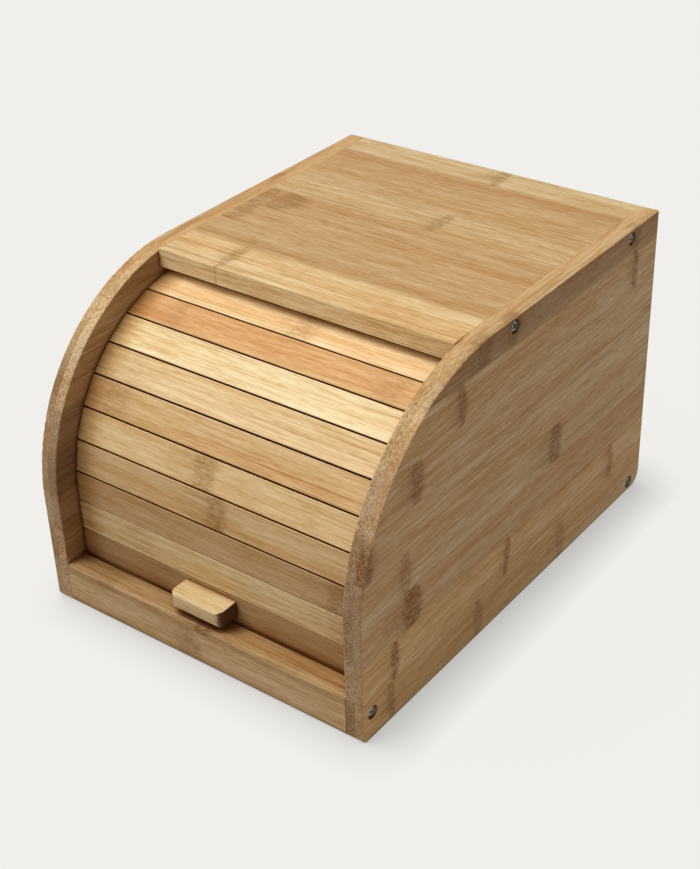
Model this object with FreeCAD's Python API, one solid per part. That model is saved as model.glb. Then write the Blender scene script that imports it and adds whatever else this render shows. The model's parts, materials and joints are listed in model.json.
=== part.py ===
import FreeCAD, Part
import math
import os

# A roll-top bread box in laminated bamboo.  Two side panels with a quarter-round shoulder carry a top,
# a bottom, a back and a low front rail.  A slatted curtain closes the front: the tongues at the ends of
# its slats run in round guide grooves in the side panels, so the whole curtain turns about the centre
# of those grooves.
#
# Millimetres, +Z up, the front faces -Y.  The origin is the middle of the footprint, on the surface
# that the box stands on.

# --- Case ---------------------------------------------------------------------------------------
width = 240.0
depth = 320.0
height = 202.0
side_thickness = 12.5
top_thickness = 12.5
bottom_thickness = 12.5
back_thickness = 8.0
shoulder_radius = 126.0
heel_radius = 10.0
toe_radius = 3.2
edge_round = 1.0
top_setback = 107.0
top_edge_round = 0.8
back_inset = 5.0
back_groove_depth = 4.0

# --- Front rail, and the tongue that locks the bottom into it -----------------------------------
rail_height = 29.0
rail_depth = 15.0
rail_front_round = 3.0
rail_rear_round = 1.0
bottom_tongue_thickness = 6.0
bottom_tongue_length = 5.0
bottom_least_edge = 1.0

# --- Curtain, as it stands when it is closed ----------------------------------------------------
rail_to_curtain = 1.4
top_tuck = 6.9
slat_count = 10
slat_thickness = 8.0
slat_arris = 0.4
slat_end_clearance = 0.5
flat_joint_gap = 0.3
bent_joint_gap = 1.15
back_joint_gap = 0.15
lead_slat_cover = 2.6
canvas_thickness = 0.8
canvas_end_margin = 6.0

# --- Tongues on the slats and the guide grooves they run in -------------------------------------
tongue_thickness = 3.0
tongue_length = 4.5
tongue_inset = 4.8
tongue_end_margin = 1.0
guide_clearance = 0.3
guide_end_clearance = 0.5
guide_stop_clearance = 0.2
opening_angle = 91.5

# --- Pull on the lead slat ----------------------------------------------------------------------
pull_length = 39.0
pull_height = 11.0
pull_setback = 0.8
pull_rise = 7.0
pull_offset = -2.5
pull_corner_round = 4.8
pull_edge_round = 0.6
pull_top_round = 1.6
pull_grip_round = 3.0

# --- Screws through the side panels -------------------------------------------------------------
head_radius = 3.9
head_height = 2.4
head_recess = 0.8
head_round = 0.8
counterbore_clearance = 0.6
shank_radius = 2.0
shank_length = 34.0
shank_clearance = 0.05
shank_point = 1.2
drive_width = 1.3
drive_span = 4.6
drive_depth = 1.4
rail_screw_drop = 11.0
rail_screw_back = 6.4
top_screw_drop = 5.8
top_screw_front = 43.0
top_screw_rear = 34.8
bottom_screw_rear = 14.6

# --- Sizes that follow --------------------------------------------------------------------------
front = -depth / 2
rear = depth / 2
inner_half = width / 2 - side_thickness
top_underside = height - top_thickness
slat_half = inner_half - slat_end_clearance
tongue_reach = slat_half + tongue_length
guide_floor = inner_half + tongue_length - slat_end_clearance + guide_end_clearance
curtain_setback = rail_depth + rail_to_curtain
curtain_face = front + curtain_setback
curtain_radius = shoulder_radius - curtain_setback
curve_centre_y = front + shoulder_radius
curve_start_height = height - shoulder_radius
lead_slat_foot = rail_height - lead_slat_cover
tucked_turn = math.acos((shoulder_radius - top_setback - top_tuck) / curtain_radius)
slat_pitch = (curve_start_height - lead_slat_foot + curtain_radius * tucked_turn) / slat_count
BEYOND = 1.0
TONGUE_STEPS = 40


def vec(x, y, z):
    return FreeCAD.Vector(x, y, z)


def prism(points, x_low, x_high):
    """A solid with the outline given as (y, z) points, running from x_low to x_high."""
    corners = [vec(x_low, y, z) for y, z in points]
    wire = Part.makePolygon(corners + corners[:1])
    return Part.Face(wire).extrude(vec(x_high - x_low, 0, 0))


def block(x_low, x_high, y_low, y_high, z_low, z_high):
    return Part.makeBox(x_high - x_low, y_high - y_low, z_high - z_low, vec(x_low, y_low, z_low))


def rod_along_x(radius, x_low, x_high, y, z):
    return Part.makeCylinder(radius, x_high - x_low, vec(x_low, y, z), vec(1, 0, 0))


def edges_where(shape, wanted):
    """The straight edges of a shape whose two ends both meet a condition on their point."""
    chosen = []
    for edge in shape.Edges:
        ends = [vertex.Point for vertex in edge.Vertexes]
        if len(ends) == 2 and all(wanted(point) for point in ends):
            chosen.append(edge)
    return chosen


def near(value, target):
    return abs(value - target) < 1e-6


def write(node, shape):
    shape.exportStep("parts/" + node + ".step")


# --- The curtain's closed shape: a straight foot, then an arc about the shoulder's centre -------
def face_point(run):
    """The point on the curtain's face a given way up from the start of its curve."""
    if run <= 0:
        return curtain_face, curve_start_height + run
    turn = run / curtain_radius
    y = curve_centre_y - curtain_radius * math.cos(turn)
    z = curve_start_height + curtain_radius * math.sin(turn)
    return y, z


def slat_runs():
    """Where each slat starts and ends along the face, from the lead slat up to the one under the top."""
    first = lead_slat_foot - curve_start_height
    runs = []
    start = first
    for number in range(1, slat_count + 1):
        joint = first + number * slat_pitch
        gap = flat_joint_gap if joint < 0 else bent_joint_gap
        if number == slat_count:
            gap = 0
        runs.append((start, joint - gap / 2))
        start = joint + gap / 2
    return runs


def circle_through(first, second, third):
    """Centre and radius of the circle through three (y, z) points."""
    (ay, az), (by, bz), (cy, cz) = first, second, third
    double_area = 2 * (ay * (bz - cz) + by * (cz - az) + cy * (az - bz))
    a_square = ay * ay + az * az
    b_square = by * by + bz * bz
    c_square = cy * cy + cz * cz
    y = (a_square * (bz - cz) + b_square * (cz - az) + c_square * (az - bz)) / double_area
    z = (a_square * (cy - by) + b_square * (ay - cy) + c_square * (by - ay)) / double_area
    return y, z, math.hypot(ay - y, az - z)


# --- The guide: the one circle that the closed curtain's face best follows ----------------------
runs = slat_runs()
middle_slat = len(runs) // 2
guide_y, guide_z, face_radius = circle_through(
    face_point(runs[0][1]),
    face_point(runs[middle_slat][1]),
    face_point(runs[-1][1]),
)
guide_radius = face_radius - tongue_inset
groove_half = tongue_thickness / 2 + guide_clearance


def on_guide(radius, angle):
    """The (y, z) point at a radius from the guide's centre and an angle in radians up from the front."""
    return guide_y - radius * math.cos(angle), guide_z + radius * math.sin(angle)


def guide_angle(y, z):
    return math.atan2(z - guide_z, guide_y - y)


def ring_sector(inner, outer, low, high, x_low, x_high):
    """Part of a ring about the guide's centre, between two angles in radians."""
    middle = (low + high) / 2
    corners = {
        (radius, angle): vec(x_low, *on_guide(radius, angle))
        for radius in (inner, outer)
        for angle in (low, middle, high)
    }
    edges = [
        Part.Arc(corners[outer, low], corners[outer, middle], corners[outer, high]).toShape(),
        Part.LineSegment(corners[outer, high], corners[inner, high]).toShape(),
        Part.Arc(corners[inner, high], corners[inner, middle], corners[inner, low]).toShape(),
        Part.LineSegment(corners[inner, low], corners[outer, low]).toShape(),
    ]
    return Part.Face(Part.Wire(edges)).extrude(vec(x_high - x_low, 0, 0))


# --- Slats --------------------------------------------------------------------------------------
def slat_frame(run):
    """The slat's lower and upper face corners, with the unit vectors up its face and into the box."""
    low_y, low_z = face_point(run[0])
    high_y, high_z = face_point(run[1])
    length = math.hypot(high_y - low_y, high_z - low_z)
    up = ((high_y - low_y) / length, (high_z - low_z) / length)
    inward = (up[1], -up[0])
    return (low_y, low_z), (high_y, high_z), up, inward


def back_bevel():
    """How far each long edge of a slat leans in towards its back, so that bent joints just stay open."""
    half_turn = slat_pitch / curtain_radius / 2
    needed = slat_thickness * math.tan(half_turn) - bent_joint_gap / 2 + back_joint_gap / 2
    return max(needed, 0.0)


def slat_section(run):
    """A slat's (y, z) outline: the face with softened arrises, then the bevelled edges and the back."""
    low, high, up, inward = slat_frame(run)
    bevel = back_bevel()
    slope = bevel / slat_thickness

    def place(corner, along, deep):
        return (corner[0] + up[0] * along + inward[0] * deep, corner[1] + up[1] * along + inward[1] * deep)

    return [
        place(low, slat_arris, 0),
        place(high, -slat_arris, 0),
        place(high, -slope * slat_arris, slat_arris),
        place(high, -bevel, slat_thickness),
        place(low, bevel, slat_thickness),
        place(low, slope * slat_arris, slat_arris),
    ]


def tongue_span(run):
    """The lowest and highest angle of a slat's tongue, kept where the guide passes inside the slat."""
    low, high, up, inward = slat_frame(run)
    margin = back_bevel() + tongue_end_margin
    deepest = slat_thickness - tongue_thickness / 2
    length = math.hypot(high[0] - low[0], high[1] - low[1])
    angles = []
    for step in range(TONGUE_STEPS + 1):
        along = margin + (length - 2 * margin) * step / TONGUE_STEPS
        y = low[0] + up[0] * along
        z = low[1] + up[1] * along
        reach = (y - guide_y) * inward[0] + (z - guide_z) * inward[1]
        off_square = (y - guide_y) ** 2 + (z - guide_z) ** 2 - guide_radius ** 2
        deep = -reach - math.sqrt(max(reach * reach - off_square, 0.0))
        if deep <= deepest:
            angles.append(guide_angle(y + inward[0] * deep, z + inward[1] * deep))
    return min(angles), max(angles)


def make_slat(run):
    body = prism(slat_section(run), -slat_half, slat_half)
    low, high = tongue_span(run)
    inner = guide_radius - tongue_thickness / 2
    outer = guide_radius + tongue_thickness / 2
    tongue = ring_sector(inner, outer, low, high, -tongue_reach, tongue_reach)
    return body.fuse(tongue).removeSplitter()


def make_canvas():
    """The cloth glued to the backs of the slats, folding once at the middle of each joint."""
    glued = []
    free = []
    for run in runs:
        section = slat_section(run)
        _, _, _, inward = slat_frame(run)
        for y, z in (section[4], section[3]):
            glued.append((y, z))
            free.append((y + inward[0] * canvas_thickness, z + inward[1] * canvas_thickness))
    folds = [((a[0] + b[0]) / 2, (a[1] + b[1]) / 2) for a, b in zip(free[1:-1:2], free[2:-1:2])]
    half = slat_half - canvas_end_margin
    return prism(glued + [free[-1]] + folds[::-1] + [free[0]], -half, half)


# --- Screws -------------------------------------------------------------------------------------
rail_screw = (front + rail_depth - rail_screw_back, rail_height - rail_screw_drop)
top_screws = [
    (front + top_setback + top_screw_front, height - top_screw_drop),
    (rear - top_screw_rear, height - top_screw_drop),
]
bottom_screw = (rear - bottom_screw_rear, bottom_thickness / 2)
head_seat = width / 2 - head_recess - head_height
screw_tip = head_seat - shank_length


def screw_hole(y, z, side):
    """The counterbore and the hole for one screw, on the side given as 1 or -1."""
    bore = rod_along_x(head_radius + counterbore_clearance, head_seat, width / 2 + BEYOND, y, z)
    hole = rod_along_x(shank_radius + shank_clearance, screw_tip, head_seat + BEYOND, y, z)
    return on_side(bore.fuse(hole), side)


def make_screw(y, z, side):
    """A round-headed wood screw with a cross drive, its head sunk in the side panel."""
    head = rod_along_x(head_radius, head_seat, head_seat + head_height, y, z)
    outer_face = head_seat + head_height
    head = head.makeFillet(head_round, [e for e in head.Edges if near(e.BoundBox.XMin, outer_face)])
    shank = rod_along_x(shank_radius, screw_tip, head_seat, y, z)
    shank = shank.makeChamfer(shank_point, [e for e in shank.Edges if near(e.BoundBox.XMax, screw_tip)])
    screw = head.fuse(shank).removeSplitter()
    slot_floor = outer_face - drive_depth
    for half_y, half_z in ((drive_width / 2, drive_span / 2), (drive_span / 2, drive_width / 2)):
        slot = block(slot_floor, outer_face + BEYOND, y - half_y, y + half_y, z - half_z, z + half_z)
        screw = screw.cut(slot)
    return on_side(screw, side)


def on_side(shape, side):
    """The shape as made for the +X side, or its mirror image for the -X side."""
    if side > 0:
        return shape
    return shape.mirror(vec(0, 0, 0), vec(1, 0, 0))


def screws(places):
    return Part.makeCompound([make_screw(y, z, side) for side in (-1, 1) for y, z in places])


def drilled(shape, places):
    """The shape with the holes for the screws at the places given, from both sides."""
    for side in (-1, 1):
        for y, z in places:
            shape = shape.cut(screw_hole(y, z, side))
    return shape


# --- Case panels --------------------------------------------------------------------------------
def side_outline(x):
    """The side panel's outline as a wire in the plane at x."""
    shoulder_y = front + shoulder_radius
    shoulder_z = height - shoulder_radius
    diagonal = math.sqrt(0.5)

    def arc(centre_y, centre_z, radius, start, middle, end):
        points = [vec(x, centre_y + radius * dy, centre_z + radius * dz) for dy, dz in (start, middle, end)]
        return Part.Arc(*points).toShape()

    def line(start, end):
        return Part.LineSegment(vec(x, *start), vec(x, *end)).toShape()

    return Part.Wire([
        line((front + toe_radius, 0), (rear - heel_radius, 0)),
        arc(rear - heel_radius, heel_radius, heel_radius, (0, -1), (diagonal, -diagonal), (1, 0)),
        line((rear, heel_radius), (rear, height)),
        line((rear, height), (shoulder_y, height)),
        arc(shoulder_y, shoulder_z, shoulder_radius, (0, 1), (-diagonal, diagonal), (-1, 0)),
        line((front, shoulder_z), (front, toe_radius)),
        arc(front + toe_radius, toe_radius, toe_radius, (-1, 0), (-diagonal, -diagonal), (0, -1)),
    ])


def guide_groove():
    """The round-ended groove for the tongues, from the lead slat's stop to the top slat's place when open."""
    low = tongue_span(runs[0])[0] - guide_stop_clearance / guide_radius
    high = tongue_span(runs[-1])[1] + math.radians(opening_angle) + guide_stop_clearance / guide_radius
    inner = guide_radius - groove_half
    outer = guide_radius + groove_half
    start = inner_half - BEYOND
    groove = ring_sector(inner, outer, low, high, start, guide_floor)
    for angle in (low, high):
        groove = groove.fuse(rod_along_x(groove_half, start, guide_floor, *on_guide(guide_radius, angle)))
    return groove


def make_side(side):
    """A side panel: rounded arrises, kept sharp inside where the top and the bottom meet it flush."""
    plank = Part.Face(side_outline(inner_half)).extrude(vec(side_thickness, 0, 0))
    rims = [e for e in plank.Edges if near(e.BoundBox.XMin, e.BoundBox.XMax)]
    soft = plank.makeFillet(edge_round, rims)
    flush_depth = inner_half + side_thickness / 2
    by_top = block(inner_half, flush_depth, front + top_setback, rear, top_underside, height)
    by_bottom = block(inner_half, flush_depth, front + rail_depth, rear, 0, bottom_thickness)
    panel = soft.fuse([plank.common(by_top), plank.common(by_bottom)]).removeSplitter()
    panel = panel.cut(guide_groove())
    panel = panel.cut(back_shape())
    for y, z in [rail_screw, bottom_screw] + top_screws:
        panel = panel.cut(screw_hole(y, z, 1))
    return on_side(panel, side)


def back_shape():
    """The back panel, let into both side panels and standing between the bottom and the top."""
    half = inner_half + back_groove_depth
    y_high = rear - back_inset
    return block(-half, half, y_high - back_thickness, y_high, bottom_thickness, top_underside)


def make_top():
    panel = block(-inner_half, inner_half, front + top_setback, rear, top_underside, height)
    lip = edges_where(panel, lambda p: near(p.y, front + top_setback))
    level = [e for e in lip if near(e.BoundBox.ZMin, e.BoundBox.ZMax)]
    panel = panel.makeFillet(top_edge_round, level)
    return drilled(panel, top_screws)


def bottom_tongue(extra):
    """The tongue along the bottom panel's front edge, longer by extra at its front."""
    middle = bottom_thickness / 2
    half = bottom_tongue_thickness / 2
    y_low = front + rail_depth - bottom_tongue_length
    return block(-inner_half, inner_half, y_low, front + rail_depth + extra, middle - half, middle + half)


def make_bottom():
    """The bottom, tongued into the rail, its lower rear edge rounded like the sides' heels."""
    panel = block(-inner_half, inner_half, front + rail_depth, rear, 0, bottom_thickness)
    heel = edges_where(panel, lambda p: near(p.y, rear) and near(p.z, 0))
    panel = panel.makeFillet(min(heel_radius, bottom_thickness - bottom_least_edge), heel)
    return drilled(panel.fuse(bottom_tongue(BEYOND)).removeSplitter(), [bottom_screw])


def make_rail():
    rail = block(-inner_half, inner_half, front, front + rail_depth, 0, rail_height)
    front_arris = edges_where(rail, lambda p: near(p.y, front) and near(p.z, rail_height))
    rail = rail.makeFillet(rail_front_round, front_arris)
    rear_arris = edges_where(rail, lambda p: near(p.y, front + rail_depth) and near(p.z, rail_height))
    rail = rail.makeFillet(rail_rear_round, rear_arris)
    toe_arris = edges_where(rail, lambda p: near(p.y, front) and near(p.z, 0))
    rail = rail.makeFillet(toe_radius, toe_arris)
    return drilled(rail.cut(bottom_tongue(0)), [rail_screw])


def make_pull():
    """The pull glued to the lead slat: rounded front corners, a soft top edge and a rounder grip below."""
    y_low = front + pull_setback
    z_low = lead_slat_foot + pull_rise
    z_high = z_low + pull_height
    x_low = pull_offset - pull_length / 2
    blank = block(x_low, x_low + pull_length, y_low, curtain_face, z_low, z_high)
    leading = edges_where(blank, lambda p: near(p.y, y_low))
    uprights = [e for e in leading if near(e.BoundBox.XMin, e.BoundBox.XMax)]
    plan = blank.makeFillet(pull_corner_round, uprights)
    rims = []
    for edge in plan.Edges:
        level = near(edge.BoundBox.ZMin, edge.BoundBox.ZMax)
        if level and not near(edge.BoundBox.YMin, curtain_face):
            rims.append(edge)
    plan = plan.makeFillet(pull_edge_round, rims)
    profile = blank.makeFillet(pull_top_round, edges_where(blank, lambda p: near(p.y, y_low) and near(p.z, z_high)))
    grip = edges_where(profile, lambda p: near(p.y, y_low) and near(p.z, z_low))
    profile = profile.makeFillet(pull_grip_round, grip)
    return plan.common(profile).removeSplitter()


def main():
    os.makedirs("parts", exist_ok=True)
    write("side_panel_left", make_side(-1))
    write("side_panel_right", make_side(1))
    write("top_panel", make_top())
    write("bottom_panel", make_bottom())
    write("back_panel", back_shape())
    write("front_rail", make_rail())
    for number, run in enumerate(reversed(runs), 1):
        write("slat_%02d" % number, make_slat(run))
    write("canvas_backing", make_canvas())
    write("pull", make_pull())
    write("rail_screws", screws([rail_screw]))
    write("top_screws", screws(top_screws))
    write("bottom_screws", screws([bottom_screw]))
    print("guide centre y %.6f z %.6f" % (guide_y, guide_z))


main()
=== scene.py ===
"""Dresses a roll-top bread box in laminated bamboo, fits its screws and stands it in a small studio."""

import json
import math
import random
from collections import namedtuple

import bmesh
import bpy
from bpy.props import FloatProperty, FloatVectorProperty, PointerProperty
from mathutils import Euler, Matrix, Vector


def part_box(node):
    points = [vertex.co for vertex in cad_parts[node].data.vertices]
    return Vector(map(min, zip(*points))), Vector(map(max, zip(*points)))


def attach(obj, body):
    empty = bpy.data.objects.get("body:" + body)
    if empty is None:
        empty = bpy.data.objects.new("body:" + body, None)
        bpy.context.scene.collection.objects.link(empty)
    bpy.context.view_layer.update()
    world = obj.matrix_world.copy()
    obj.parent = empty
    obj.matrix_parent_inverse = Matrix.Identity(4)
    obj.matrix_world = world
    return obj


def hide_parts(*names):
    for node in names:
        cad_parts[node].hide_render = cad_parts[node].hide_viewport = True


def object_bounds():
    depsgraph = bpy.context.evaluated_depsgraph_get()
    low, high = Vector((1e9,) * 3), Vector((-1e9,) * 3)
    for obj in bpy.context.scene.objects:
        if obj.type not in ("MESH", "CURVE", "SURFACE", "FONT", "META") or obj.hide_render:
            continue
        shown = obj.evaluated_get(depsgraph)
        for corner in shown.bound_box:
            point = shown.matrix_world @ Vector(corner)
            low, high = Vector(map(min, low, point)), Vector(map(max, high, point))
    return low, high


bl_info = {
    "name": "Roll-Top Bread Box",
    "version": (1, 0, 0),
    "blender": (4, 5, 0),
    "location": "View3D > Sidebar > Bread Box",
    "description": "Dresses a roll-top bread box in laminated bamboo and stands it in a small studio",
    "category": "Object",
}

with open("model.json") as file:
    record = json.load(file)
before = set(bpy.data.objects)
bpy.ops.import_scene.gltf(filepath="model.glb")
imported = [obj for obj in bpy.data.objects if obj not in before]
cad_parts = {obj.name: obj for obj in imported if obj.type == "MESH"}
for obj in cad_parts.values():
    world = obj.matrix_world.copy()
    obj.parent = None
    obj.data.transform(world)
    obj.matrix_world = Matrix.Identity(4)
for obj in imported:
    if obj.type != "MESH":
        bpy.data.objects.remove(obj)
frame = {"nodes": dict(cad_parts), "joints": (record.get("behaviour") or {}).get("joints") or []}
cad_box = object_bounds()

MM = 0.001
X_AXIS = Vector((1, 0, 0))
Y_AXIS = Vector((0, 1, 0))
Z_AXIS = Vector((0, 0, 1))
BOX_LOW, BOX_HIGH = cad_box
HINGE = next(joint for joint in frame["joints"] if joint["name"] == "curtain_roll")


def srgb(red, green, blue):
    """A linear colour from the 0 to 255 values that a screen shows."""
    return tuple(
        part / 255 / 12.92 if part <= 10 else ((part / 255 + 0.055) / 1.055) ** 2.4
        for part in (red, green, blue)
    )


# --- How each strip of bamboo looks ---------------------------------------------------------------
# A node mark is where a joint of the cane crosses a strip: its place along the grain and its width are
# in millimetres, and its strength is from 0 to 1.  A strip's warmth runs from pale to honey coloured, and
# its shade multiplies its colour.
Mark = namedtuple("Mark", "place width strength")
Strip = namedtuple("Strip", "warmth shade marks", defaults=((),))

# From the floor up, seen on the outside of the right side panel; places are the row's Y.
# These tones are partly the strips' own colour and partly painted shade of this outward face on the shaded
# side, with the lowest two lighter as painted light from the floor.
RIGHT_OUTER_PLY = (
    Strip(0.56, 1.05, (Mark(-134, 6, 0.60), Mark(-44, 8, 0.55), Mark(52, 9, 0.50))),
    Strip(0.48, 1.06, (Mark(-130, 6, 0.90), Mark(-13, 5, 0.85), Mark(115, 6, 0.70))),
    Strip(0.55, 0.86, (Mark(-113, 15, 1.00),)),
    Strip(0.48, 0.85, (Mark(-118, 9, 0.60), Mark(40, 12, 0.90))),
    Strip(0.48, 0.85, (Mark(-157, 16, 1.00),)),
    Strip(0.52, 0.84, (Mark(-107, 11, 0.75),)),
    Strip(0.50, 0.84, (Mark(-64, 7, 0.80), Mark(132, 6, 0.85))),
    Strip(0.80, 0.58, (Mark(-42, 12, 0.50), Mark(-12, 12, 0.60), Mark(132, 6, 0.50))),
)
# The same ply where it shows at the panel's rim, without the painted shade of the outward face.
RIGHT_RIM = (
    Strip(0.30, 0.88),
    Strip(0.30, 0.88),
    Strip(0.40, 0.76),
    Strip(0.40, 0.72),
    Strip(0.40, 0.82),
    Strip(0.42, 0.96),
    Strip(0.40, 0.96),
    Strip(0.42, 0.76),
)
RIGHT_INNER_PLY = (
    Strip(0.50, 0.80, (Mark(-158, 5, 0.6),)),
    Strip(0.36, 0.82),
    Strip(0.55, 0.78),
    Strip(0.40, 0.67, (Mark(20, 8, 0.7),)),
    Strip(0.50, 0.69),
    Strip(0.30, 0.84),
    Strip(0.30, 0.90, (Mark(90, 8, 0.7),)),
    Strip(0.70, 0.82),
)
LEFT_OUTER_PLY = (
    Strip(0.45, 0.84, (Mark(66, 9, 0.6),)),
    Strip(0.60, 0.80, (Mark(-88, 7, 0.8), Mark(128, 8, 0.5))),
    Strip(0.40, 0.88, (Mark(-20, 12, 0.9),)),
    Strip(0.55, 0.82, (Mark(104, 6, 0.7),)),
    Strip(0.50, 0.86, (Mark(-132, 5, 0.6), Mark(30, 10, 0.8))),
    Strip(0.60, 0.78, (Mark(-139, 6, 0.45), Mark(138, 7, 0.6))),
    Strip(0.35, 0.94, (Mark(-52, 8, 0.7),)),
    Strip(0.70, 0.82, (Mark(74, 9, 0.6),)),
)
LEFT_INNER_PLY = (
    Strip(0.40, 0.98),
    Strip(0.35, 0.94, (Mark(-118, 9, 0.5),)),
    Strip(0.50, 0.80),
    Strip(0.60, 0.60, (Mark(60, 11, 0.7),)),
    Strip(0.40, 0.70),
    Strip(0.20, 1.04),
    Strip(0.20, 1.06, (Mark(0, 11, 0.6),)),
    Strip(0.52, 0.86),
)
# From the front edge back; places are the row's X.
TOP_STRIPS = (
    Strip(0.29, 0.98, (Mark(-62, 7, 0.60),)),
    Strip(0.62, 0.78),
    Strip(0.72, 0.79, (Mark(-100, 9, 0.40),)),
    Strip(0.68, 0.77, (Mark(-86, 18, 0.50), Mark(-104, 9, 0.4))),
    Strip(0.42, 0.81, (Mark(15, 7, 0.50),)),
    Strip(0.50, 0.77),
    Strip(0.75, 0.76),
    Strip(0.22, 0.79, (Mark(10, 8, 0.60),)),
)
# From the slat under the top panel down to the lead slat; places are the row's X.
# The shades are partly the slats' own colour and partly painted light and shade: the first slat is lightened
# against the top panel's shadow, and the lead slat is darkened as painted shade beside the rail.
SLATS = (
    Strip(0.28, 1.18, (Mark(8, 12, 0.40),)),
    Strip(0.74, 1.08, (Mark(-74, 8, 0.20), Mark(82, 14, 0.30))),
    Strip(-0.05, 1.06),
    Strip(0.32, 1.02, (Mark(-84, 16, 0.20),)),
    Strip(0.60, 0.95, (Mark(-84, 14, 0.40),)),
    Strip(0.38, 0.96, (Mark(-9, 13, 0.55),)),
    Strip(0.58, 0.83, (Mark(4, 11, 0.65),)),
    Strip(0.68, 0.74, (Mark(94, 16, 0.60),)),
    Strip(0.10, 0.87, (Mark(-58, 16, 0.15), Mark(98, 22, 0.40))),
    Strip(0.90, 0.58, (Mark(-44, 14, 0.25),)),
)
RAIL_LOWER_STRIP = Strip(0.55, 0.71, (Mark(-11, 16, 0.50),))
# Its mark at 3 mm, under the pull, is partly a node mark and partly the pull's painted shadow.
RAIL_UPPER_STRIP = Strip(0.76, 0.61, (Mark(3, 14, 0.75), Mark(-76, 16, 0.30)))
PULL_STRIP = Strip(0.00, 0.88)
# The bottom and the back: how many strips each has, the share of them with a mark, and the range of the
# marks' places, widths and strengths, of the strips' warmth and of their shade.
HIDDEN_STRIPS = 13
HIDDEN_MARK_SHARE = 0.6
HIDDEN_MARKS = ((-105, 105), (5, 11), (0.5, 0.9))
HIDDEN_WARMTHS = (0.3, 0.7)
HIDDEN_SHADES = (0.94, 1.04)


# --- Settings -------------------------------------------------------------------------------------
COLOUR = {"size": 3, "subtype": "COLOR", "min": 0, "max": 1}
SHARE = {"subtype": "FACTOR", "min": 0, "max": 1}
PLACE = {"size": 3, "subtype": "TRANSLATION", "unit": "LENGTH"}
DIRECTION = {"size": 3, "subtype": "DIRECTION"}


class BambooSettings(bpy.types.PropertyGroup):
    """The bamboo and how it is finished."""

    pale: FloatVectorProperty(
        name="Pale bamboo",
        description="Colour of the palest strips",
        default=srgb(235, 207, 158),
        **COLOUR,
    )
    honey: FloatVectorProperty(
        name="Honey bamboo",
        description="Colour of the warmest strips",
        default=srgb(210, 159, 103),
        **COLOUR,
    )
    stain: FloatVectorProperty(
        name="Vein stain",
        description="The tint that a dark vein or a glue line lays over a strip",
        default=srgb(174, 127, 80),
        **COLOUR,
    )
    strip_width: FloatProperty(
        name="Strip width",
        description="Width of the strips that the panels are glued up from",
        default=26.4 * MM,
        min=5 * MM,
        unit="LENGTH",
    )
    ply: FloatProperty(
        name="Inner ply",
        description="Thickness of the inner of the two plies in a side panel",
        default=6.6 * MM,
        min=1 * MM,
        unit="LENGTH",
    )
    rail_ply: FloatProperty(
        name="Rail's upper strip",
        description="Height of the strip that tops the front rail",
        default=5.2 * MM,
        min=1 * MM,
        unit="LENGTH",
    )
    gloss: FloatProperty(
        name="Lacquer",
        description="Weight of the thin satin lacquer",
        default=0.02,
        **SHARE,
    )
    lacquer_roughness: FloatProperty(
        name="Lacquer roughness",
        description="Roughness of the thin satin lacquer",
        default=0.34,
        **SHARE,
    )


class ClothSettings(bpy.types.PropertyGroup):
    """The canvas behind the slats."""

    # The canvas's dark colour is partly its own and partly painted shade for the gaps between the slats,
    # where it shows.
    colour: FloatVectorProperty(
        name="Canvas",
        description="Colour of the canvas's threads",
        default=srgb(92, 54, 20),
        **COLOUR,
    )
    thread: FloatProperty(
        name="Thread pitch",
        description="Distance from one thread of the canvas to the next",
        default=0.8 * MM,
        min=0.1 * MM,
        unit="LENGTH",
    )


class ScrewSettings(bpy.types.PropertyGroup):
    """The wood screws through the side panels."""

    zinc: FloatVectorProperty(
        name="Zinc",
        description="Colour of the zinc plating",
        default=srgb(142, 141, 144),
        **COLOUR,
    )
    head_height: FloatProperty(
        name="Head height",
        description="Height of a screw's head above its seat",
        default=2.4 * MM,
        min=0.5 * MM,
        unit="LENGTH",
    )
    shank_length: FloatProperty(
        name="Shank length",
        description="Length of a screw under its head",
        default=34 * MM,
        min=5 * MM,
        unit="LENGTH",
    )
    crest_radius: FloatProperty(
        name="Thread radius",
        description="Radius over the crests of the thread",
        default=2.0 * MM,
        min=0.5 * MM,
        unit="LENGTH",
    )
    root_radius: FloatProperty(
        name="Core radius",
        description="Radius of the core between the crests",
        default=1.35 * MM,
        min=0.3 * MM,
        unit="LENGTH",
    )
    pitch: FloatProperty(
        name="Thread pitch",
        description="Distance from one crest of the thread to the next",
        default=1.9 * MM,
        min=0.3 * MM,
        unit="LENGTH",
    )


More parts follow.
